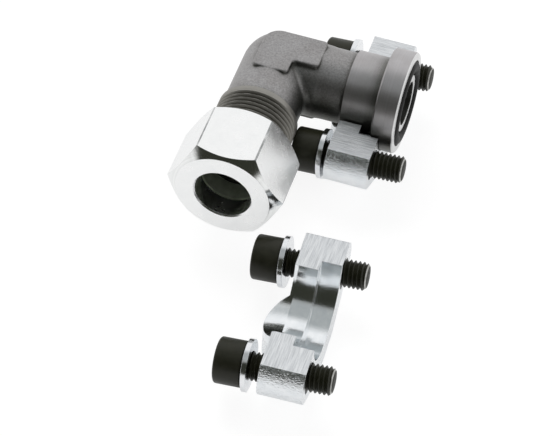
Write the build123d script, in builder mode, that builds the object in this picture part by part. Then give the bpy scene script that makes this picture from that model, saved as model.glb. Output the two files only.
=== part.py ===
from build123d import *

import os
from math import cos, pi, radians, sin, tan

# Hydraulic flange elbow: a forged 90 degree elbow with a cutting ring tube end on one arm and
# a split flange on the other. One flange half lies under the neck and the other lies apart.
# Millimetres. The origin is the centre of the flange face, +X points out of the flange port,
# the tube arm points along -Y and +Z is up.

# Flange head and neck
flange_diameter = 29.9
flange_thickness = 6.7
flange_edge = 0.4
neck_diameter = 23.2
neck_length = 9.9
forged_neck_diameter = 21.2
neck_cone = 0.6
arm_cone = 2.0

# Face seal
groove_diameter = 25.5
groove_width = 4.4
groove_depth = 2.8
seal_section = 3.5
seal_gap = 0.05

# Bend
face_to_bend = 38.7
arm_diameter = 22.0
flange_arm_step = 0.4
flange_arm_length = 13.3
crotch_radius = 2.0
passage_diameter = 12.0
port_diameter = 13.0
port_depth = 24.0
pad_width = 10.6
pad_rise = 0.1
pad_tube_reach = 10.5
pad_flange_reach = 13.0
pad_corner = 1.2
pad_edge = 0.5
pad_bend_radius = 5.0

# Tube arm
thread_diameter = 23.8
thread_pitch = 1.5
thread_depth = 0.92
thread_start = 20.9
arm_end = 41.0
collar_width = 1.2
collar_cone = 0.6
end_chamfer = 1.0
tube_diameter = 16.0
tube_gap = 0.05
tube_stop = 8.5
seat_flare = 2.0
seat_half_angle = 12.0

# Union nut
nut_across_flats = 29.6
nut_length = 20.5
nut_front = 51.9
nut_turn = 0.7
nut_corner_edge = 0.7
nut_face_diameter = 27.6
nut_chamfer_angle = 38.0
nut_bore_gap = 0.2
nut_bore_length = 6.3
nut_bore_edge = 0.4
nut_cavity_diameter = 21.8
nut_cavity_depth = 10.4
thread_gap = 0.1

# Cutting ring
ring_bore_gap = 0.15
ring_collar_diameter = 20.4
ring_seat_gap = 0.11
ring_wall = 0.4
ring_rear_wall = 0.5
ring_nose = 2.2
ring_shoulder = 0.9
ring_gap = 0.15

# Split flange half
bolt_pitch_long = 38.1
bolt_pitch_short = 17.5
half_thickness = 12.5
half_height = 23.0
half_split_gap = 1.4
ear_radius = 8.05
ear_centre_drop = 7.7
foot_half_width = 11.0
foot_radius = 3.0
hub_length = 5.0
hub_radius = 8.7
neck_gap = 0.55
head_gap = 0.55
counterbore_depth = 5.9
flare_start = 1.0
flare_angle = 14.0
bolt_hole_diameter = 9.0

# Where the halves lie
rest_gap = 0.02
fitted_half_setback = 4.0
loose_half_x = 0.9
loose_half_y = -79.9
loose_half_turn = 2.65

# Cap screws and spring washers
screw_diameter = 8.0
screw_pitch = 1.25
screw_thread_depth = 0.72
screw_thread_start = 0.4
screw_length = 24.6
screw_tip = 0.8
screw_head_diameter = 12.8
screw_head_height = 7.6
screw_head_edge = 0.7
screw_socket = 6.0
screw_socket_depth = 4.0
screw_droop = 4.0
screw_stand_off = 5.3
screw_stand_off_by_arm = 3.0
washer_gap = 0.1
washer_width = 3.2
washer_thickness = 1.4
washer_rise = 0.5
washer_slit = 1.0
slit_turn_under = 200.0
slit_turn_front = 135.0

os.makedirs("parts", exist_ok=True)

# Frames shared by the pieces: the bend's centre, and sketches with x along an arm and y as radius.
bend = (-face_to_bend, 0, 0)
flange_profile = Plane(bend)
flange_axis = Axis(bend, (1, 0, 0))
tube_profile = Plane(bend, x_dir=(0, -1, 0), z_dir=(0, 0, 1))
tube_axis = Axis(bend, (0, -1, 0))


def thread_points(start, end, radius, pitch, depth):
    """Profile of a thread, from start to end, drawn as vee rings of its pitch and depth."""
    return [
        (start + (turn + share) * pitch, radius - drop)
        for turn in range(int((end - start) / pitch))
        for share, drop in ((0, 0), (0.45, depth), (0.9, 0))
    ]


# Elbow body
arm_radius = arm_diameter / 2
flange_arm_radius = (arm_diameter - flange_arm_step) / 2
thread_radius = thread_diameter / 2
collar_start = thread_start - collar_width
head_start = face_to_bend - flange_thickness
neck_start = head_start - neck_length
socket_radius = tube_diameter / 2 + tube_gap
seat_radius = (tube_diameter + seat_flare) / 2
seat_depth = (seat_radius - socket_radius) / tan(radians(seat_half_angle))
pad_foot = arm_radius / 2
pad_top = arm_radius + pad_rise
arm_thread_end = arm_end - end_chamfer

with BuildPart() as elbow_body:
    # Tube arm, with a ball end at the bend
    with BuildSketch(tube_profile):
        with BuildLine():
            CenterArc((0, 0), arm_radius, 90, 90)
            Polyline(
                (0, arm_radius),
                (collar_start - collar_cone, arm_radius),
                (collar_start, thread_radius),
                *thread_points(thread_start, arm_thread_end, thread_radius, thread_pitch, thread_depth),
                (arm_thread_end, thread_radius),
                (arm_end, thread_radius - end_chamfer),
                (arm_end, 0),
                (-arm_radius, 0),
            )
        make_face()
    revolve(axis=tube_axis)
    # Flange arm, forged neck, turned neck and flange head
    with BuildSketch(flange_profile):
        with BuildLine():
            Polyline(
                (0, 0),
                (0, flange_arm_radius),
                (flange_arm_length, flange_arm_radius),
                (flange_arm_length + arm_cone, forged_neck_diameter / 2),
                (neck_start - neck_cone, forged_neck_diameter / 2),
                (neck_start, neck_diameter / 2),
                (head_start, neck_diameter / 2),
                (head_start, flange_diameter / 2 - flange_edge),
                (head_start + flange_edge, flange_diameter / 2),
                (face_to_bend - flange_edge, flange_diameter / 2),
                (face_to_bend, flange_diameter / 2 - flange_edge),
                (face_to_bend, 0),
                close=True,
            )
        make_face()
    revolve(axis=flange_axis)
    fillet(edges().filter_by(GeomType.BSPLINE), crotch_radius)
    # Raised pads over and under the bend
    for side in (1, -1):
        with BuildSketch(Plane((*bend[:2], side * pad_foot))):
            with Locations(((pad_flange_reach - pad_width / 2) / 2, 0)):
                Rectangle(pad_flange_reach + pad_width / 2, pad_width)
            with Locations((0, (pad_width / 2 - pad_tube_reach) / 2)):
                Rectangle(pad_width, pad_tube_reach + pad_width / 2)
            fillet(vertices().sort_by(Axis((0, 0, 0), (1, -1, 0)))[1:], pad_corner)
            fillet(vertices().sort_by(Axis((0, 0, 0), (1, -1, 0)))[0], pad_bend_radius)
        extrude(amount=side * (pad_top - pad_foot))
    pad_tops = faces().filter_by(Axis.Z).filter_by(lambda face: abs(face.center().Z) > pad_foot)
    fillet(pad_tops.edges(), pad_edge)
    # Passage, tube socket and cone seat
    with BuildSketch(tube_profile):
        with BuildLine():
            Polyline(
                (-passage_diameter / 2, 0),
                (-passage_diameter / 2, passage_diameter / 2),
                (arm_end - tube_stop, passage_diameter / 2),
                (arm_end - tube_stop, socket_radius),
                (arm_end - seat_depth, socket_radius),
                (arm_end, seat_radius),
                (arm_end, 0),
                close=True,
            )
        make_face()
    revolve(axis=tube_axis, mode=Mode.SUBTRACT)
    with BuildSketch(Plane.YZ):
        Circle(passage_diameter / 2)
    extrude(amount=-face_to_bend, mode=Mode.SUBTRACT)
    with BuildSketch(Plane.YZ):
        Circle(port_diameter / 2)
    extrude(amount=-port_depth, mode=Mode.SUBTRACT)
    # Seal groove in the flange face
    with BuildSketch(Plane.YZ):
        Circle(groove_diameter / 2)
        Circle(groove_diameter / 2 - groove_width, mode=Mode.SUBTRACT)
    extrude(amount=-groove_depth, mode=Mode.SUBTRACT)

elbow_body.part.label = "elbow_body"
export_step(elbow_body.part, "parts/elbow_body.step")

# Seal, lying on the floor of its groove and against the outer wall
seal_radius = groove_diameter / 2 - seal_section / 2 - seal_gap

with BuildPart() as o_ring:
    with BuildSketch(Plane.XY):
        with Locations((seal_section / 2 + seal_gap - groove_depth, seal_radius)):
            Circle(seal_section / 2)
    revolve(axis=Axis.X)

o_ring.part.label = "o_ring"
export_step(o_ring.part, "parts/o_ring.step")

# Union nut
nut_rear = nut_front - nut_length
nut_corner = nut_across_flats / 2 / cos(radians(30))
nut_face_radius = nut_face_diameter / 2
nut_chamfer = (nut_corner - nut_face_radius) * tan(radians(nut_chamfer_angle))
nut_bore_radius = tube_diameter / 2 + nut_bore_gap
nut_cavity_radius = nut_cavity_diameter / 2
nut_thread_radius = thread_radius + thread_gap
nut_seat_end = nut_front - nut_bore_length - (nut_cavity_radius - nut_bore_radius)
nut_back_plane = Plane(
    (bend[0], -nut_rear, 0),
    x_dir=(cos(radians(nut_turn)), 0, sin(radians(nut_turn))),
    z_dir=(0, -1, 0),
)

with BuildPart() as union_nut:
    with BuildSketch(nut_back_plane):
        RegularPolygon(nut_across_flats / 2, 6, major_radius=False)
        fillet(vertices(), nut_corner_edge)
    extrude(amount=nut_length)
    # Chamfered corners at both ends
    with BuildSketch(tube_profile):
        with BuildLine():
            Polyline(
                (nut_rear, 0),
                (nut_rear, nut_face_radius),
                (nut_rear + nut_chamfer, nut_corner),
                (nut_front - nut_chamfer, nut_corner),
                (nut_front, nut_face_radius),
                (nut_front, 0),
                close=True,
            )
        make_face()
    revolve(axis=tube_axis, mode=Mode.INTERSECT)
    # Thread bore, cavity, shoulder for the cutting ring and tube bore
    with BuildSketch(tube_profile):
        with BuildLine():
            Polyline(
                (nut_rear, 0),
                (nut_rear, nut_thread_radius + end_chamfer),
                (nut_rear + end_chamfer, nut_thread_radius),
                (nut_front - nut_cavity_depth, nut_thread_radius),
                (nut_front - nut_cavity_depth, nut_cavity_radius),
                (nut_seat_end, nut_cavity_radius),
                (nut_front - nut_bore_length, nut_bore_radius),
                (nut_front - nut_bore_edge, nut_bore_radius),
                (nut_front, nut_bore_radius + nut_bore_edge),
                (nut_front, 0),
                close=True,
            )
        make_face()
    revolve(axis=tube_axis, mode=Mode.SUBTRACT)

union_nut.part.label = "union_nut"
export_step(union_nut.part, "parts/union_nut.step")

# Cutting ring, between the cone seat and the nut's shoulder
ring_bore_radius = tube_diameter / 2 + ring_bore_gap
ring_collar_radius = ring_collar_diameter / 2
ring_rear_radius = ring_bore_radius + ring_rear_wall
ring_rear = nut_front - nut_bore_length - (ring_rear_radius - nut_bore_radius) - ring_gap
ring_front_radius = ring_bore_radius + ring_wall
ring_front = arm_end - (seat_radius - ring_seat_gap - ring_front_radius) / tan(radians(seat_half_angle))
ring_nose_radius = ring_front_radius + ring_nose * tan(radians(seat_half_angle))

with BuildPart() as cutting_ring:
    with BuildSketch(tube_profile):
        with BuildLine():
            Polyline(
                (ring_front, ring_bore_radius),
                (ring_front, ring_front_radius),
                (ring_front + ring_nose, ring_nose_radius),
                (ring_front + ring_nose + ring_shoulder, ring_collar_radius),
                (ring_rear - (ring_collar_radius - ring_rear_radius), ring_collar_radius),
                (ring_rear, ring_rear_radius),
                (ring_rear, ring_bore_radius),
                close=True,
            )
        make_face()
    revolve(axis=tube_axis)

cutting_ring.part.label = "cutting_ring"
export_step(cutting_ring.part, "parts/cutting_ring.step")

# Split flange halves. The elbow's neck and head lie in the fitted half, so its bore is higher
# than the flange axis by the smaller of the two clearances.
half_bore_radius = neck_diameter / 2 + neck_gap
half_counterbore_radius = flange_diameter / 2 + head_gap
half_lift = min(neck_gap, head_gap) - rest_gap
half_back = half_thickness + hub_length
flare_rise = (hub_length + flare_start) * tan(radians(flare_angle))
bolt_y = bolt_pitch_long / 2
bolt_drop = bolt_pitch_short / 2


def half_plane(x, y, turn):
    """Port side face of a half: its x lies along the split and its normal along the bore."""
    angle = radians(turn)
    return Plane((x, y, half_lift), x_dir=(-sin(angle), cos(angle), 0), z_dir=(cos(angle), sin(angle), 0))


fitted_plane = half_plane(-fitted_half_setback, 0, 0)
loose_plane = half_plane(loose_half_x, loose_half_y, loose_half_turn)

for half_name, plane in (("flange_half_fitted", fitted_plane), ("flange_half_loose", loose_plane)):
    # Plane through the bore's axis: x along the bore, y along the split
    bore_profile = Plane(plane.origin, x_dir=plane.z_dir, z_dir=(0, 0, 1))
    bore_axis = Axis(plane.origin, plane.z_dir)
    with BuildPart() as flange_half:
        with BuildSketch(plane) as outline:
            with Locations((bolt_y, -ear_centre_drop), (-bolt_y, -ear_centre_drop)):
                Circle(ear_radius)
            with Locations(
                (foot_half_width - foot_radius, foot_radius - half_height),
                (foot_radius - foot_half_width, foot_radius - half_height),
            ):
                Circle(foot_radius)
            make_hull()
            with Locations((0, -half_split_gap)):
                Rectangle(4 * bolt_y, 2 * half_height, align=(Align.CENTER, Align.MIN), mode=Mode.SUBTRACT)
        # Hub behind the ears, rounded in plan to leave room for the screw heads
        extrude(amount=-half_back)
        with BuildSketch(bore_profile):
            with Locations((hub_radius - half_back, 0)):
                Circle(hub_radius)
            Rectangle(half_thickness, 4 * bolt_y, align=(Align.MAX, Align.CENTER))
        extrude(amount=half_height, both=True, mode=Mode.INTERSECT)
        # Neck bore, flared through the hub, and counterbore for the flange head
        with BuildSketch(bore_profile):
            with BuildLine():
                Polyline(
                    (-half_back, 0),
                    (-half_back, half_bore_radius + flare_rise),
                    (flare_start - half_thickness, half_bore_radius),
                    (-counterbore_depth, half_bore_radius),
                    (-counterbore_depth, half_counterbore_radius),
                    (0, half_counterbore_radius),
                    (0, 0),
                    close=True,
                )
            make_face()
        revolve(axis=bore_axis, mode=Mode.SUBTRACT)
        # Screw holes through the ears
        with BuildSketch(plane):
            with Locations((bolt_y, -bolt_drop), (-bolt_y, -bolt_drop)):
                Circle(bolt_hole_diameter / 2)
        extrude(amount=-half_thickness, mode=Mode.SUBTRACT)
    flange_half.part.label = half_name
    export_step(flange_half.part, f"parts/{half_name}.step")

# Cap screws and spring washers. Each screw hangs a little nose up in its hole, and its washer
# lies against the head. The screw beside the tube arm is pushed in further, clear of the arm.
screw_radius = screw_diameter / 2
screw_head_radius = screw_head_diameter / 2
screw_thread_end = screw_length - screw_tip
washer_radius = screw_radius + washer_gap + washer_width / 2
washer_turn = 1 - washer_slit / (2 * pi * washer_radius)
screw_places = (
    (fitted_plane, -1, screw_stand_off_by_arm, slit_turn_under),
    (fitted_plane, 1, screw_stand_off, slit_turn_under),
    (loose_plane, -1, screw_stand_off, slit_turn_front),
    (loose_plane, 1, screw_stand_off, slit_turn_under),
)

for number, (plane, side, stand_off, slit_turn) in enumerate(screw_places, start=1):
    # Under the head, with the normal along the shank
    hole_middle = plane.from_local_coords(Vector(side * bolt_y, -bolt_drop, -half_thickness / 2))
    shank = plane.z_dir.rotate(Axis((0, 0, 0), plane.x_dir), -screw_droop)
    seat = hole_middle - shank * (half_thickness / 2 + stand_off)
    under_head = Plane(seat, x_dir=plane.x_dir, z_dir=shank)
    with BuildPart() as cap_screw:
        with BuildSketch(Plane(seat, x_dir=shank, z_dir=plane.x_dir)):
            with BuildLine():
                Polyline(
                    (-screw_head_height, 0),
                    (-screw_head_height, screw_head_radius - screw_head_edge),
                    (screw_head_edge - screw_head_height, screw_head_radius),
                    (0, screw_head_radius),
                    (0, screw_radius),
                    *thread_points(
                        screw_thread_start, screw_thread_end, screw_radius, screw_pitch, screw_thread_depth
                    ),
                    (screw_thread_end, screw_radius),
                    (screw_length, screw_radius - screw_tip),
                    (screw_length, 0),
                    close=True,
                )
            make_face()
        revolve(axis=Axis(seat, shank))
        with BuildSketch(under_head.offset(-screw_head_height)):
            RegularPolygon(screw_socket / 2, 6, major_radius=False)
        extrude(amount=screw_socket_depth, mode=Mode.SUBTRACT)
    cap_screw.part.label = f"cap_screw_{number}"
    export_step(cap_screw.part, f"parts/cap_screw_{number}.step")

    with BuildPart() as spring_washer:
        with BuildLine() as coil:
            spring = Helix(
                pitch=washer_rise / washer_turn,
                height=washer_rise,
                radius=washer_radius,
                center=under_head.offset(washer_gap + washer_thickness / 2).origin,
                direction=shank,
                mode=Mode.PRIVATE,
            )
            add(spring.rotate(Axis(seat, shank), slit_turn))
        with BuildSketch(Plane(coil.line @ 0, x_dir=shank, z_dir=coil.line % 0)):
            Rectangle(washer_thickness, washer_width)
        sweep(is_frenet=True)
    spring_washer.part.label = f"spring_washer_{number}"
    export_step(spring_washer.part, f"parts/spring_washer_{number}.step")
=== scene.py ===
import math

import bpy
import numpy as np
from mathutils import Matrix, Vector


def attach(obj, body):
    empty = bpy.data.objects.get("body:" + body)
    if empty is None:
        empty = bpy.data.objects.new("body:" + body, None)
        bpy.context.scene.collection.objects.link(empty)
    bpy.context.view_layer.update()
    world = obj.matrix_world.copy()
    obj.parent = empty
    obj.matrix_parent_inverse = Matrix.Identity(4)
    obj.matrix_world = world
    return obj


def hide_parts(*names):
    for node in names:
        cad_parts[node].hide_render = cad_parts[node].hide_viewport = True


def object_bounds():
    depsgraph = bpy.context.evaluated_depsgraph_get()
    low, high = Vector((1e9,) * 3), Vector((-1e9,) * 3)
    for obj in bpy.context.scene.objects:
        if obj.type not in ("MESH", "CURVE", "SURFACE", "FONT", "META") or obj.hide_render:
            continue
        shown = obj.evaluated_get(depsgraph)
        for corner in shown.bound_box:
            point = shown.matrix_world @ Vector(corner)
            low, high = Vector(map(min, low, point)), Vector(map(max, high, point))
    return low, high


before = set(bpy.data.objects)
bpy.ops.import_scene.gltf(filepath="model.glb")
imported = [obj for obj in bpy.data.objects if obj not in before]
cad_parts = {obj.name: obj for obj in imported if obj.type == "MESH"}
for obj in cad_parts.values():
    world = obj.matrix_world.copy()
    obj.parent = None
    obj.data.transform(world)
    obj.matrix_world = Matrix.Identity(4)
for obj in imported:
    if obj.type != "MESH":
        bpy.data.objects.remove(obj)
first_box = [list(corner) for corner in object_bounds()]
MM = 0.001

# Sizes shared with the solids, in millimetres and degrees
BEND = np.array((-38.7, 0.0, 0.0))
COLLAR_START, THREAD_START, THREAD_END = 19.7, 20.9, 40.0
THREAD_RADIUS, THREAD_PITCH, THREAD_DEPTH = 11.9, 1.5, 0.92
NECK_START, NUT_CORNER = -16.6, 16.98
HALF_LIFT, HALF_THICKNESS, COUNTERBORE_RADIUS = 0.53, 12.5, 15.5
SPLIT_LEVEL = HALF_LIFT - 1.4
BOLT_Y, BOLT_DROP = 19.05, 8.75
FITTED_PLACE, FITTED_TURN = (-4.0, 0.0), 0.0
LOOSE_PLACE, LOOSE_TURN = (0.9, -79.9), 2.65
SCREW_RADIUS, SCREW_LENGTH, SCREW_PITCH, SCREW_DEPTH = 4.0, 24.6, 1.25, 0.72
SCREW_THREAD_START, SCREW_DROOP = 0.4, 4.0
HEAD_RADIUS, HEAD_HEIGHT, HEAD_EDGE = 6.4, 7.6, 0.7
SOCKET_FLATS, SOCKET_DEPTH = 6.0, 4.0

# Each screw: its half's place and turn, its side, its stand-off and its roll in radians
SCREWS = {
    "cap_screw_1": (FITTED_PLACE, FITTED_TURN, -1, 3.0, 0.7),
    "cap_screw_2": (FITTED_PLACE, FITTED_TURN, 1, 5.3, 2.0),
    "cap_screw_3": (LOOSE_PLACE, LOOSE_TURN, -1, 5.3, 3.3),
    "cap_screw_4": (LOOSE_PLACE, LOOSE_TURN, 1, 5.3, 4.6),
}

# Detail that only the scene has, in millimetres or as shares
FLANK_SLOPE, ROOT_FLAT, RUN_OUT = 1.15, 0.08, 0.8
THREAD_ROW, THREAD_AROUND = 0.09, 120
SCREW_ROW, SCREW_AROUND = 0.085, 72
SOCKET_CENTRE, SOCKET_EDGE = 0.02, 0.25
HEAD_EDGE_ROWS, HEAD_UNDER_EDGE, HEAD_UNDER_BEND = 6, 0.3, 0.08
TIP_LEAD, TIP_INSET, TIP_CENTRE = 0.85, 0.95, 0.05
TIP_RIM, TIP_RIM_INSIDE = 0.3, 2.8
PAINTED_SHADE_REACH, CHAMFER_INSIDE = 16.0, 12.0

# Studio: the paper's share that takes light and its glow, for reflections and for the camera
PAPER, MIRRORED_PAPER, SEEN_PAPER = 0.85, (0.4, 0.64), (0.2, 0.88)
SKY_STRENGTH, FLOOR_SIZE, FLOOR_GAP = 0.4, 8.0, 0.02
WHITE = (1.0, 1.0, 1.0, 1.0)

# Camera, fitted to the photograph: degrees, millimetres and pixels
AZIMUTH, ELEVATION, ROLL, DISTANCE = 14.799, 48.49, -3.888, 740.02
TARGET = (-22.271, -53.907, -1.064)
FOCAL_PIXELS, PHOTO_WIDTH, SENSOR_WIDTH = 2674.63, 552, 36.0


# Meshes

def link(name, mesh):
    """An object for a mesh, lamp or camera, linked to the scene."""
    obj = bpy.data.objects.new(name, mesh)
    bpy.context.scene.collection.objects.link(obj)
    return obj


def add_mesh(name, vertices, faces, material, sharp):
    """A smooth shaded mesh from points in millimetres, with edges sharper than the angle kept."""
    mesh = bpy.data.meshes.new(name)
    mesh.from_pydata((np.asarray(vertices) * MM).tolist(), [], [list(map(int, f)) for f in faces])
    mesh.validate()
    mesh.shade_smooth()
    mesh.set_sharp_from_angle(angle=math.radians(sharp))
    mesh.materials.append(material)
    return link(name, mesh)


def tube_faces(rows, around):
    """Quads over a tube of rows by around points."""
    faces = []
    for row in range(rows - 1):
        a = row * around
        for j in range(around):
            k = (j + 1) % around
            faces.append((a + j, a + k, a + around + k, a + around + j))
    return faces


def thread_radius(station, angle, radius, pitch, depth, start, end):
    """Radius of a right hand vee thread, running out at both ends."""
    phase = (station / pitch - angle / (2 * math.pi)) % 1.0
    groove = np.clip(FLANK_SLOPE * np.abs(2 * phase - 1) - ROOT_FLAT, 0, 1)
    lead_in = np.clip((station - start) / (RUN_OUT * pitch), 0, 1)
    lead_out = np.clip((end - station) / (RUN_OUT * pitch), 0, 1)
    return radius - depth * (1 - groove) * lead_in * lead_out


# Shader helpers

def material(name):
    """An empty material with its output and principled shader."""
    made = bpy.data.materials.new(name)
    made.use_nodes = True
    tree = made.node_tree
    tree.nodes.clear()
    out = tree.nodes.new("ShaderNodeOutputMaterial")
    shader = tree.nodes.new("ShaderNodeBsdfPrincipled")
    tree.links.new(shader.outputs["BSDF"], out.inputs["Surface"])
    return made, tree, shader


def node(tree, kind, settings=None, **inputs):
    """A node with its properties set and its named or numbered inputs linked or filled."""
    made = tree.nodes.new(kind)
    for key, value in (settings or {}).items():
        setattr(made, key, value)
    for key, value in inputs.items():
        numbered = key[0] == "_" and key[1:].isdigit()
        socket = made.inputs[int(key[1:]) if numbered else key.replace("_", " ")]
        if isinstance(value, bpy.types.NodeSocket):
            tree.links.new(value, socket)
        else:
            socket.default_value = value
    return made


def product(tree, a, b):
    return node(tree, "ShaderNodeMath", {"operation": "MULTIPLY"}, _0=a, _1=b).outputs[0]


def position(tree):
    """Place on the object in the shared frame, in metres."""
    return node(tree, "ShaderNodeTexCoord").outputs["Object"]


def noise(tree, scale, detail, roughness):
    """Noise with the same grain in every direction."""
    made = node(
        tree, "ShaderNodeTexNoise",
        Vector=position(tree), Scale=scale, Detail=detail, Roughness=roughness,
    )
    return made.outputs["Fac"]


def streaks(tree, stretch, detail, roughness):
    """Noise with its own scale along each axis."""
    place = node(tree, "ShaderNodeMapping", Vector=position(tree), Scale=stretch).outputs[0]
    made = node(
        tree, "ShaderNodeTexNoise", Vector=place, Scale=1.0, Detail=detail, Roughness=roughness
    )
    return made.outputs["Fac"]


def ramp(tree, factor, *stops):
    """A colour ramp over (place, colour) stops."""
    made = node(tree, "ShaderNodeValToRGB", Fac=factor)
    elements = made.color_ramp.elements
    while len(elements) < len(stops):
        elements.new(0.5)
    for element, (place, colour) in zip(elements, stops):
        element.position = place
        element.color = (*colour, 1.0)
    return made.outputs["Color"]


def levels(tree, factor, low, high, start=0.0, end=1.0):
    """Start where factor is low, end where it is high, and a clamped slope between."""
    made = node(
        tree, "ShaderNodeMapRange", {"clamp": True},
        Value=factor, From_Min=low, From_Max=high, To_Min=start, To_Max=end,
    )
    return made.outputs[0]


def blend(tree, factor, a, b):
    """Colour a where factor is 0 and b where it is 1."""
    return node(tree, "ShaderNodeMix", {"data_type": "RGBA"}, _0=factor, _6=a, _7=b).outputs[2]


def tint(tree, a, b):
    """Product of two colours."""
    kind = {"data_type": "RGBA", "blend_type": "MULTIPLY"}
    return node(tree, "ShaderNodeMix", kind, _0=1.0, _6=a, _7=b).outputs[2]


def choose(tree, factor, a, b):
    """Value a where factor is 0 and b where it is 1."""
    return node(tree, "ShaderNodeMix", {"data_type": "FLOAT"}, _0=factor, _2=a, _3=b).outputs[0]


def bump(tree, height, strength, distance, normal=None):
    """Normal of a bumpy surface, with the distance in millimetres."""
    made = node(tree, "ShaderNodeBump", Height=height, Strength=strength, Distance=distance * MM)
    if normal is not None:
        tree.links.new(normal, made.inputs["Normal"])
    return made.outputs["Normal"]


def soft_edges(tree, radius):
    """Normal that rounds the edges by a radius in metres."""
    return node(tree, "ShaderNodeBevel", {"samples": 6}, Radius=radius).outputs["Normal"]


def axis_parts(tree):
    """The place's x, y and z."""
    return node(tree, "ShaderNodeSeparateXYZ", Vector=position(tree)).outputs


def normal_parts(tree):
    """The face normal's x, y and z."""
    normal = node(tree, "ShaderNodeNewGeometry").outputs["True Normal"]
    return node(tree, "ShaderNodeSeparateXYZ", Vector=normal).outputs


def axis_distance(tree, centre, along):
    """Distance from an axis, in metres."""
    kind = "ShaderNodeVectorMath"
    middle = tuple(c * MM for c in centre)
    offset = node(tree, kind, {"operation": "SUBTRACT"}, _0=position(tree), _1=middle).outputs[0]
    crossed = node(tree, kind, {"operation": "CROSS_PRODUCT"}, _0=offset, _1=along).outputs[0]
    return node(tree, kind, {"operation": "LENGTH"}, _0=crossed).outputs["Value"]


def finish(tree, shader, colour, roughness, metallic, normal):
    """Link what varies over the surface and set what doesn't."""
    tree.links.new(colour, shader.inputs["Base Color"])
    tree.links.new(roughness, shader.inputs["Roughness"])
    shader.inputs["Metallic"].default_value = metallic
    tree.links.new(normal, shader.inputs["Normal"])


# Materials

def phosphated_steel():
    """Dark forging with painted shade in its recesses, a smoother turned neck and a bright flange
    face.
    """
    made, tree, shader = material("phosphated_steel")
    x = axis_parts(tree)[0]
    turned = levels(tree, x, (NECK_START - 0.15) * MM, (NECK_START + 0.15) * MM)
    ahead = levels(tree, normal_parts(tree)[0], 0.5, 0.6)
    face = product(tree, levels(tree, x, -0.5 * MM, -0.4 * MM), ahead)
    grain = noise(tree, 1700, 4, 0.65)
    blotch = noise(tree, 150, 3, 0.6)
    lines = streaks(tree, (2600, 30, 30), 3, 0.6)
    forged = ramp(
        tree, grain,
        (0.30, (0.276, 0.270, 0.272)), (0.5, (0.358, 0.352, 0.354)), (0.70, (0.450, 0.443, 0.446)),
    )
    smooth = ramp(tree, lines, (0.3, (0.450, 0.438, 0.447)), (0.7, (0.495, 0.483, 0.493)))
    bright = ramp(tree, lines, (0.3, (0.74, 0.74, 0.74)), (0.7, (0.80, 0.80, 0.80)))
    patches = ramp(tree, blotch, (0.35, (0.88, 0.87, 0.86)), (0.65, (1.0, 1.0, 1.0)))
    # Painted shade: ambient occlusion darkens the colour in recesses, the crotch and next to the
    # halves
    openness = node(tree, "ShaderNodeAmbientOcclusion", {"samples": 8}, Distance=PAINTED_SHADE_REACH * MM)
    painted_recess_shade = ramp(
        tree, openness.outputs["AO"], (0.68, (0.29, 0.30, 0.27)), (0.97, (1.0, 1.0, 1.0))
    )
    colour = tint(tree, tint(tree, blend(tree, turned, forged, smooth), patches), painted_recess_shade)
    colour = blend(tree, face, colour, bright)
    pits = product(tree, grain, levels(tree, turned, 0, 1, 1.0, 0.08))
    edges = soft_edges(tree, levels(tree, turned, 0, 1, 0.9 * MM, 0.3 * MM))
    roughness = levels(tree, turned, 0, 1, 0.43, 0.36)
    finish(tree, shader, colour, roughness, 0.9, bump(tree, pits, 0.4, 0.13, edges))
    return made


def thread_steel():
    """Dark tube thread with painted shade in its roots, and worn lighter at its crests."""
    made, tree, shader = material("thread_steel")
    grain = noise(tree, 1800, 3, 0.6)
    radius = axis_distance(tree, BEND, (0, 1, 0))
    height = levels(tree, radius, (THREAD_RADIUS - THREAD_DEPTH) * MM, THREAD_RADIUS * MM)
    # Colour by height: the dark roots are painted shade, the lighter crests are wear
    colour = ramp(
        tree, height,
        (0.1, (0.060, 0.056, 0.047)), (0.7, (0.245, 0.237, 0.212)), (1.0, (0.315, 0.305, 0.282)),
    )
    roughness = levels(tree, grain, 0.3, 0.7, 0.38, 0.5)
    finish(tree, shader, colour, roughness, 0.7, bump(tree, grain, 0.25, 0.08))
    return made


def zinc_plate():
    """Bright plating with faint turned rings on the ends, polished chamfers and painted shade along
    the hex corners.
    """
    made, tree, shader = material("zinc_plate")
    cloud = noise(tree, 240, 4, 0.6)
    speck = noise(tree, 2200, 2, 0.6)
    radius = axis_distance(tree, BEND, (0, 1, 0))
    ring_place = node(tree, "ShaderNodeCombineXYZ", _0=radius).outputs[0]
    rings = node(
        tree, "ShaderNodeTexNoise", Vector=ring_place, Scale=2600.0, Detail=2.0
    ).outputs["Fac"]
    along = normal_parts(tree)[1]
    lean = node(tree, "ShaderNodeMath", {"operation": "ABSOLUTE"}, _0=along).outputs[0]
    end_face = levels(tree, lean, 0.97, 0.99)
    sloped = product(tree, levels(tree, lean, 0.65, 0.70), levels(tree, lean, 0.88, 0.83))
    outside = levels(tree, radius, CHAMFER_INSIDE * MM, (CHAMFER_INSIDE + 0.5) * MM)
    chamfer = product(tree, sloped, outside)
    # Painted shade: the colour darkens along the rounded hex corners
    corner = levels(tree, radius, (NUT_CORNER - 0.10) * MM, (NUT_CORNER - 0.03) * MM)
    plain = ramp(tree, cloud, (0.3, (0.875, 0.884, 0.885)), (0.7, (0.945, 0.950, 0.948)))
    turned = ramp(tree, rings, (0.35, (0.78, 0.79, 0.785)), (0.65, (0.93, 0.94, 0.935)))
    painted_corner_shade = ramp(tree, cloud, (0.4, (0.28, 0.29, 0.29)), (0.6, (0.62, 0.63, 0.63)))
    colour = blend(tree, corner, blend(tree, chamfer, plain, turned), painted_corner_shade)
    roughness = choose(tree, chamfer, levels(tree, cloud, 0.3, 0.7, 0.20, 0.30), 0.11)
    height = choose(tree, end_face, speck, rings)
    normal = bump(tree, height, 0.10, 0.08, soft_edges(tree, 0.15 * MM))
    finish(tree, shader, colour, roughness, 1.0, normal)
    return made


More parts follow.
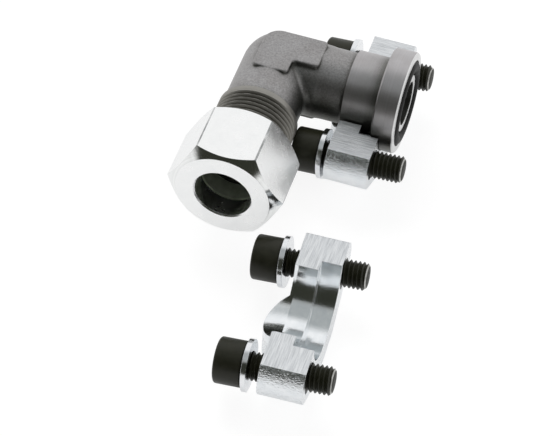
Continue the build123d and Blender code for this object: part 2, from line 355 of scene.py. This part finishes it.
def plated_half(name, place, turn, sawn_stretch):
    """Plated half: sawn streaks on the split face, smooth bores and a speckled skin elsewhere."""
    made, tree, shader = material(name)
    angle = math.radians(turn)
    level = levels(tree, axis_parts(tree)[2], (SPLIT_LEVEL - 0.1) * MM, (SPLIT_LEVEL - 0.05) * MM)
    split_face = product(tree, levels(tree, normal_parts(tree)[2], 0.9, 0.95), level)
    radius = axis_distance(tree, (*place, HALF_LIFT), (math.cos(angle), math.sin(angle), 0))
    bore = levels(tree, radius, (COUNTERBORE_RADIUS + 0.4) * MM, (COUNTERBORE_RADIUS + 0.2) * MM)
    streak = streaks(tree, sawn_stretch, 4, 0.65)
    cloud = noise(tree, 300, 3, 0.6)
    speck = noise(tree, 2700, 1, 0.5)
    plain = ramp(tree, cloud, (0.3, (0.79, 0.82, 0.845)), (0.7, (0.89, 0.91, 0.925)))
    sawn = ramp(
        tree, streak,
        (0.32, (0.60, 0.62, 0.64)), (0.5, (0.77, 0.79, 0.81)), (0.68, (0.92, 0.935, 0.95)),
    )
    colour = blend(tree, split_face, plain, sawn)
    roughness = choose(tree, split_face, levels(tree, bore, 0, 1, 0.22, 0.14), 0.5)
    skin = product(tree, speck, levels(tree, bore, 0, 1, 1.0, 0.06))
    height = choose(tree, split_face, skin, streak)
    normal = bump(tree, height, 0.9, 0.22, soft_edges(tree, 0.25 * MM))
    finish(tree, shader, colour, roughness, 1.0, normal)
    return made


def black_oxide():
    """Black screws with a slight olive sheen, and dull ends."""
    made, tree, shader = material("black_oxide")
    cloud = noise(tree, 420, 3, 0.6)
    speck = noise(tree, 2600, 2, 0.6)
    colour = ramp(tree, cloud, (0.3, (0.0120, 0.0124, 0.0062)), (0.7, (0.0200, 0.0200, 0.0112)))
    sheen = levels(tree, normal_parts(tree)[0], 0.94, 0.98, 0.3, 0.05)
    tree.links.new(sheen, shader.inputs["Specular IOR Level"])
    roughness = levels(tree, cloud, 0.3, 0.7, 0.36, 0.48)
    finish(tree, shader, colour, roughness, 0.0, bump(tree, speck, 0.12, 0.08))
    return made


def clouded(name, grain, colours, roughness, metallic, sheen=0.5, edge=None):
    """A plain finish of drifting colour and roughness, with soft edges or else fine bumps."""
    made, tree, shader = material(name)
    cloud = noise(tree, *grain)
    colour = ramp(tree, cloud, *zip((0.3, 0.7), colours))
    normal = bump(tree, cloud, 0.1, 0.05) if edge is None else soft_edges(tree, edge * MM)
    shader.inputs["Specular IOR Level"].default_value = sheen
    finish(tree, shader, colour, levels(tree, cloud, 0.3, 0.7, *roughness), metallic, normal)
    return made


PHOSPHATE = phosphated_steel()
THREAD = thread_steel()
ZINC = zinc_plate()
PLATED_FITTED = plated_half("plated_steel_fitted", FITTED_PLACE, FITTED_TURN, (130, 2600, 130))
PLATED_LOOSE = plated_half("plated_steel_loose", LOOSE_PLACE, LOOSE_TURN, (2600, 130, 130))
OXIDE = black_oxide()
# Bare worn steel on the edge of a screw's tip, lighter there also as a painted highlight
WORN_TIP_HIGHLIGHT = clouded(
    "worn_steel_painted_highlight", (900, 3, 0.6), ((0.28, 0.28, 0.26), (0.58, 0.58, 0.56)), (0.3, 0.42), 0.9
)
# Bright plated spring steel
WASHER = clouded(
    "bright_zinc", (500, 3, 0.6), ((0.74, 0.76, 0.785), (0.86, 0.87, 0.885)), (0.12, 0.2), 1.0,
    edge=0.25,
)
# Matt black seal
RUBBER = clouded(
    "rubber_seal", (700, 2, 0.5), ((0.005, 0.005, 0.005), (0.011, 0.011, 0.010)), (0.45, 0.6), 0.0,
    sheen=0.2,
)
# Hardened ring inside the nut
RING = clouded(
    "hardened_steel", (600, 2, 0.5), ((0.62, 0.68, 0.54), (0.74, 0.80, 0.66)), (0.3, 0.42), 0.8
)


# CAD nodes that are shown as they are

def dress(name, made):
    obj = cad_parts[name]
    obj.data.materials.clear()
    obj.data.materials.append(made)


dress("union_nut", ZINC)
dress("cutting_ring", RING)
dress("o_ring", RUBBER)
dress("flange_half_fitted", PLATED_FITTED)
dress("flange_half_loose", PLATED_LOOSE)
for number in range(1, 5):
    dress(f"spring_washer_{number}", WASHER)


# Elbow: the solid's own skin, with the rings of its tube thread replaced by a helix

def elbow_skin():
    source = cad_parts["elbow_body"].data
    points = np.empty(len(source.vertices) * 3)
    source.vertices.foreach_get("co", points)
    points = points.reshape(-1, 3) / MM
    station = -(points[:, 1] - BEND[1])
    radius = np.hypot(points[:, 0] - BEND[0], points[:, 2])
    threaded = (station > COLLAR_START - 0.01) & (station < THREAD_END + 0.01)
    on_thread = threaded & (radius > THREAD_RADIUS - THREAD_DEPTH - 0.1)
    kept = [p for p in source.polygons if not all(on_thread[v] for v in p.vertices)]
    normals = [tuple(n.vector) for n in source.corner_normals]
    mesh = bpy.data.meshes.new("elbow_skin")
    mesh.from_pydata((points * MM).tolist(), [], [tuple(p.vertices) for p in kept])
    mesh.shade_smooth()
    mesh.normals_split_custom_set([normals[i] for p in kept for i in p.loop_indices])
    mesh.materials.append(PHOSPHATE)
    obj = link("elbow_skin", mesh)
    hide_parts("elbow_body")
    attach(obj, "elbow_set")


def tube_thread():
    cut = np.arange(THREAD_START, THREAD_END, THREAD_ROW)
    rows = np.concatenate(([COLLAR_START], cut, [THREAD_END]))
    angles = np.linspace(0, 2 * math.pi, THREAD_AROUND, endpoint=False)
    s, a = np.meshgrid(rows, angles, indexing="ij")
    r = thread_radius(s, a, THREAD_RADIUS, THREAD_PITCH, THREAD_DEPTH, THREAD_START, THREAD_END)
    vertices = np.stack((BEND[0] + r * np.cos(a), -s, r * np.sin(a)), axis=-1).reshape(-1, 3)
    obj = add_mesh("tube_thread", vertices, tube_faces(len(rows), THREAD_AROUND), THREAD, 60)
    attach(obj, "elbow_set")


elbow_skin()
tube_thread()


# Cap screws, with a rounded head, a hexagon socket and a cut thread

def screw_mesh():
    """Points (along the shank, across, across) and faces of one screw, from under the head."""
    angle = np.linspace(0, 2 * math.pi, SCREW_AROUND, endpoint=False)
    flats = math.pi / 3
    socket = SOCKET_FLATS / 2 / np.cos((angle + flats / 2) % flats - flats / 2)
    profile = [
        (SOCKET_DEPTH - HEAD_HEIGHT, socket * SOCKET_CENTRE),
        (SOCKET_DEPTH - HEAD_HEIGHT, socket),
        (SOCKET_EDGE - HEAD_HEIGHT, socket),
        (-HEAD_HEIGHT, socket + SOCKET_EDGE),
    ]
    profile += [
        (HEAD_EDGE * (1 - math.cos(t)) - HEAD_HEIGHT, HEAD_RADIUS - HEAD_EDGE * (1 - math.sin(t)))
        for t in np.linspace(0, math.pi / 2, HEAD_EDGE_ROWS)
    ]
    profile += [
        (-HEAD_UNDER_EDGE, HEAD_RADIUS),
        (-HEAD_UNDER_BEND, HEAD_RADIUS - HEAD_UNDER_BEND),
        (0.0, HEAD_RADIUS - HEAD_UNDER_EDGE),
        (0.0, SCREW_RADIUS),
    ]
    # The thread runs off the tip, inside the tip's chamfer
    for station in np.arange(SCREW_THREAD_START, SCREW_LENGTH - 0.01, SCREW_ROW):
        cut = thread_radius(
            station, angle, SCREW_RADIUS, SCREW_PITCH, SCREW_DEPTH,
            SCREW_THREAD_START, SCREW_LENGTH + SCREW_PITCH,
        )
        profile.append((station, np.minimum(cut, SCREW_RADIUS - TIP_LEAD + SCREW_LENGTH - station)))
    profile += [(SCREW_LENGTH, SCREW_RADIUS - TIP_INSET), (SCREW_LENGTH, TIP_CENTRE)]
    rings = [
        np.stack((np.full(SCREW_AROUND, x), r * np.cos(angle), r * np.sin(angle)), axis=-1)
        for x, r in profile
    ]
    points = np.concatenate(rings)
    faces = tube_faces(len(rings), SCREW_AROUND)
    faces.append(tuple(range(SCREW_AROUND)))
    faces.append(tuple(range(len(points) - SCREW_AROUND, len(points)))[::-1])
    return points, [f[::-1] for f in faces]


def cap_screw(name, place, turn, side, stand_off, roll):
    """One screw where the solid has it, with a bare worn rim on its tip that also carries a painted
    highlight.
    """
    points, faces = screw_mesh()
    c, s = math.cos(math.radians(turn)), math.sin(math.radians(turn))
    bore, along, up = np.array((c, s, 0.0)), np.array((-s, c, 0.0)), np.array((0.0, 0.0, 1.0))
    droop = math.radians(SCREW_DROOP)
    shank = math.cos(droop) * bore + math.sin(droop) * up
    middle = np.array((*place, HALF_LIFT)) - bore * HALF_THICKNESS / 2
    hole = middle + along * side * BOLT_Y - up * BOLT_DROP
    seat = hole - shank * (HALF_THICKNESS / 2 + stand_off)
    across = np.cos(roll) * along + np.sin(roll) * np.cross(shank, along)
    axes = np.stack((shank, across, np.cross(shank, across)))
    obj = add_mesh(name + "_threaded", seat + points @ axes, faces, OXIDE, 40)
    obj.data.materials.append(WORN_TIP_HIGHLIGHT)
    for polygon in obj.data.polygons:
        x, y, z = (np.array(polygon.center) / MM - seat) @ axes.T
        if x > SCREW_LENGTH - TIP_RIM and math.hypot(y, z) > TIP_RIM_INSIDE:
            polygon.material_index = 1
    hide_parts(name)
    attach(obj, "elbow_set")


for name, settings in SCREWS.items():
    cap_screw(name, *settings)


# Studio: a white floor and surround, soft lamps, and a dark panel that only reflections show

def rays(tree):
    """1 for glossy and transmission rays, which show the surroundings, and 1 for camera rays."""
    path = node(tree, "ShaderNodeLightPath").outputs
    mirrored = node(
        tree, "ShaderNodeMath", {"operation": "ADD", "use_clamp": True},
        _0=path["Is Glossy Ray"], _1=path["Is Transmission Ray"],
    )
    return mirrored.outputs[0], path["Is Camera Ray"]


def by_ray(tree, lighting, reflected, seen):
    """One shader for lighting, one for reflections and one for the camera."""
    mirrored, looked_at = rays(tree)
    mixed = node(tree, "ShaderNodeMixShader", _0=mirrored, _1=lighting, _2=reflected).outputs[0]
    return node(tree, "ShaderNodeMixShader", _0=looked_at, _1=mixed, _2=seen).outputs[0]


def diffuse(tree, share):
    return node(tree, "ShaderNodeBsdfDiffuse", Color=(share, share, share, 1.0)).outputs[0]


def white_paper(tree, share, glow):
    """White paper of which a share takes light and shadow and the rest glows."""
    even = node(tree, "ShaderNodeEmission", Color=WHITE, Strength=glow).outputs[0]
    return node(tree, "ShaderNodeAddShader", _0=diffuse(tree, share), _1=even).outputs[0]


def background(tree, colour, strength):
    return node(tree, "ShaderNodeBackground", Color=colour, Strength=strength).outputs[0]


def surround(tree):
    """Colour of the surroundings by direction: white, greyer overhead and dark in front."""
    direction = node(tree, "ShaderNodeTexCoord").outputs["Generated"]
    _, y, z = node(tree, "ShaderNodeSeparateXYZ", Vector=direction).outputs
    panel = product(tree, levels(tree, z, 0.02, 0.16), levels(tree, z, 0.90, 0.82))
    panel = product(tree, panel, levels(tree, y, -0.08, -0.28))
    overhead = product(tree, levels(tree, z, 0.74, 0.86), levels(tree, y, 0.45, 0.15))
    pale = ramp(tree, overhead, (0.0, (1.0, 1.0, 1.0)), (1.0, (0.42, 0.44, 0.44)))
    dark = ramp(tree, panel, (0.0, (0.5, 0.5, 0.48)), (1.0, (0.030, 0.032, 0.024)))
    return blend(tree, panel, pale, dark)


def soft_lamp(name, place, target, size, power):
    """A round soft lamp that reflections don't show."""
    lamp = bpy.data.lights.new(name, "AREA")
    lamp.shape = "DISK"
    lamp.size = size
    lamp.energy = power
    obj = link(name, lamp)
    obj.location = place
    obj.rotation_euler = (Vector(target) - Vector(place)).to_track_quat("-Z", "Y").to_euler()
    obj.visible_glossy = False


def studio():
    world = bpy.data.worlds.new("studio")
    world.use_nodes = True
    tree = world.node_tree
    tree.nodes.clear()
    out = tree.nodes.new("ShaderNodeOutputWorld")
    sky = background(tree, WHITE, SKY_STRENGTH)
    mixed = by_ray(tree, sky, background(tree, surround(tree), 1.0), background(tree, WHITE, 1.0))
    tree.links.new(mixed, out.inputs["Surface"])
    bpy.context.scene.world = world

    made = bpy.data.materials.new("white_floor")
    made.use_nodes = True
    tree = made.node_tree
    tree.nodes.clear()
    out = tree.nodes.new("ShaderNodeOutputMaterial")
    reflected, seen = white_paper(tree, *MIRRORED_PAPER), white_paper(tree, *SEEN_PAPER)
    mixed = by_ray(tree, diffuse(tree, PAPER), reflected, seen)
    tree.links.new(mixed, out.inputs["Surface"])
    level = first_box[0][2] - FLOOR_GAP * MM
    bpy.ops.mesh.primitive_plane_add(size=FLOOR_SIZE, location=(0, 0, level))
    floor = bpy.context.object
    floor.name = "floor"
    floor.data.materials.append(made)

    soft_lamp("key", (-0.35, 0.4, 0.85), (-0.03, -0.03, 0.0), size=0.7, power=4.5)
    soft_lamp("fill", (0.6, -0.4, 0.9), (-0.02, -0.04, 0.0), size=0.7, power=1.3)


studio()


# Camera at the photograph's viewing angle

def camera():
    az, el, ro = (math.radians(v) for v in (AZIMUTH, ELEVATION, ROLL))
    back = Vector((math.sin(az) * math.cos(el), -math.cos(az) * math.cos(el), math.sin(el)))
    right = Vector((math.cos(az), math.sin(az), 0))
    up = back.cross(right)
    turned_right = math.cos(ro) * right - math.sin(ro) * up
    turned_up = math.sin(ro) * right + math.cos(ro) * up
    data = bpy.data.cameras.new("camera")
    data.sensor_fit = "HORIZONTAL"
    data.sensor_width = SENSOR_WIDTH
    data.lens = FOCAL_PIXELS / PHOTO_WIDTH * SENSOR_WIDTH
    data.clip_start, data.clip_end = 0.05, 20.0
    obj = link("camera", data)
    place = Vector(TARGET) * MM + back * DISTANCE * MM
    axes = Matrix((turned_right, turned_up, back)).transposed()
    obj.matrix_world = Matrix.Translation(place) @ axes.to_4x4()
    bpy.context.scene.camera = obj


camera()

bpy.context.scene.view_settings.view_transform = "Standard"
